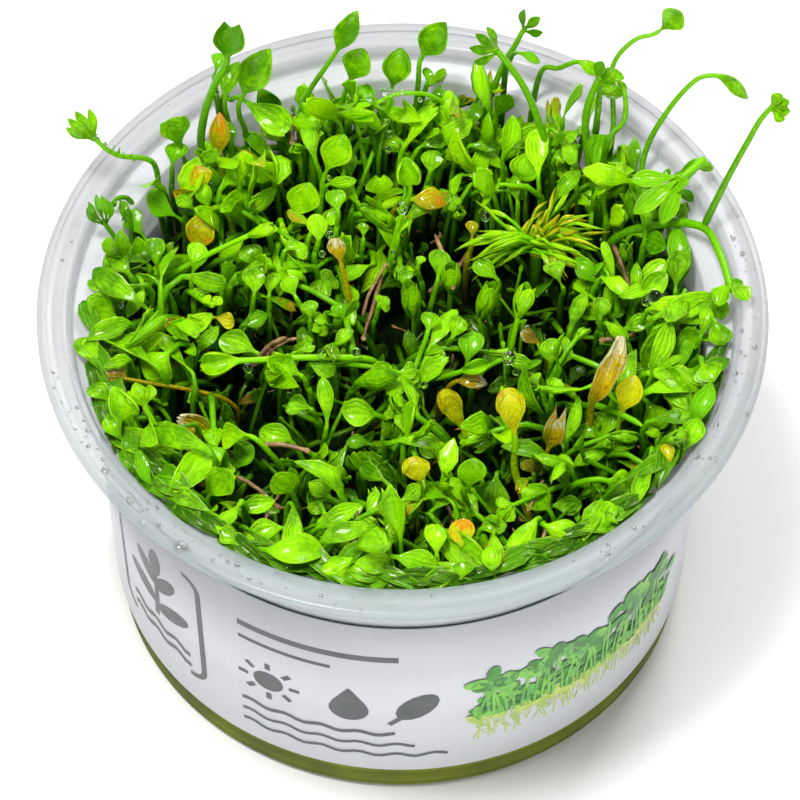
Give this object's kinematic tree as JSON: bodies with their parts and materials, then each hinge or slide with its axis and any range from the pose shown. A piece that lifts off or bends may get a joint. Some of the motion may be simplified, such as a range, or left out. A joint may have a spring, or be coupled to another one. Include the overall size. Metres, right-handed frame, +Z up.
{
  "type": "dwarf water clover in a culture cup",
  "caption": "Clear round culture cup with a wide flange, filled with a dense cushion of dwarf water clover fronds on nutrient gel, with a printed label sleeve.",
  "frame": {"origin": "middle of the cup's underside, on the surface that it stands on", "axes": "+Z up along the cup's axis, -Y towards the label's front"},
  "size_m": [0.0978, 0.095, 0.077],
  "materials": {
    "clear_plastic": "clear moulded plastic, glossy, faintly milky at the flange",
    "printed_label": "smooth white film label with dark grey and green print",
    "gel": "translucent olive nutrient gel, wet",
    "leaf_green": "wet fresh green leaf, semi-gloss",
    "leaf_deep_green": "wet dark green leaf, semi-gloss",
    "leaf_yellow_green": "wet bright yellow-green leaf, semi-gloss",
    "leaf_yellow": "old yellow leaf, semi-gloss",
    "leaf_tan": "withered tan leaf, semi-gloss",
    "dead_stem": "dead brown stem, matt"
  },
  "bodies": {
    "root": {"cup": "clear_plastic", "label": "printed_label", "nutrient_gel": "gel", "undergrowth": "leaf_deep_green", "frond_outreaching": "leaf_green", "frond_tall_dark": "leaf_deep_green", "frond_back_left_leaf": "leaf_green", "frond_yellow_lean": "leaf_tan", "frond_ragged": "leaf_green", "frond_square": "leaf_deep_green", "frond_yellow_pair": "leaf_yellow", "frond_yellow_fold": "leaf_yellow_green", "frond_four_finger": "leaf_deep_green", "frond_three_lobe": "leaf_green", "frond_bright_rod": "leaf_yellow_green", "frond_pointed_back": "leaf_green", "frond_round_back": "leaf_green", "frond_oval_back": "leaf_green", "frond_tip_back": "leaf_green", "frond_arch_back": "leaf_yellow_green", "frond_spiral": "leaf_yellow_green", "frond_lean_left": "leaf_yellow_green", "frond_heart": "leaf_yellow_green", "frond_ruffled_club": "leaf_yellow_green", "frond_four_leaflet": "leaf_green", "frond_back_spray": "leaf_deep_green", "frond_thick_stem": "leaf_green", "frond_spoon_far": "leaf_green", "frond_arch_right": "leaf_green", "frond_far_right": "leaf_green", "runner_right": "leaf_green", "frond_big_leaf_right": "leaf_yellow_green", "frond_round_right": "leaf_green", "frond_big_pointed": "leaf_green", "frond_tan_blade": "leaf_tan", "frond_tan_side": "leaf_yellow", "frond_two_prong": "leaf_tan", "frond_drooping": "leaf_green", "frond_cup_left": "leaf_green", "frond_cup_middle": "leaf_green", "frond_cup_right": "leaf_green", "frond_cup_tall": "leaf_yellow_green", "frond_yellow_tube": "leaf_yellow_green", "frond_rod_front": "leaf_yellow_green", "frond_yellow_bud": "leaf_yellow", "frond_tall_club": "leaf_yellow_green", "frond_yellow_round": "leaf_yellow", "frond_green_round": "leaf_green", "frond_mid_leaf": "leaf_green", "frond_ribbed": "leaf_green", "frond_star_club": "leaf_yellow_green", "frond_orange_claw": "leaf_tan", "frond_tan_fringe": "leaf_tan", "frond_left_bud": "leaf_yellow_green", "frond_arched_leaf": "leaf_green", "frond_front_disc": "leaf_green", "frond_front_left": "leaf_green", "needle_tuft": "leaf_yellow_green", "dead_stem_back": "dead_stem"}
  },
  "joints": []
}
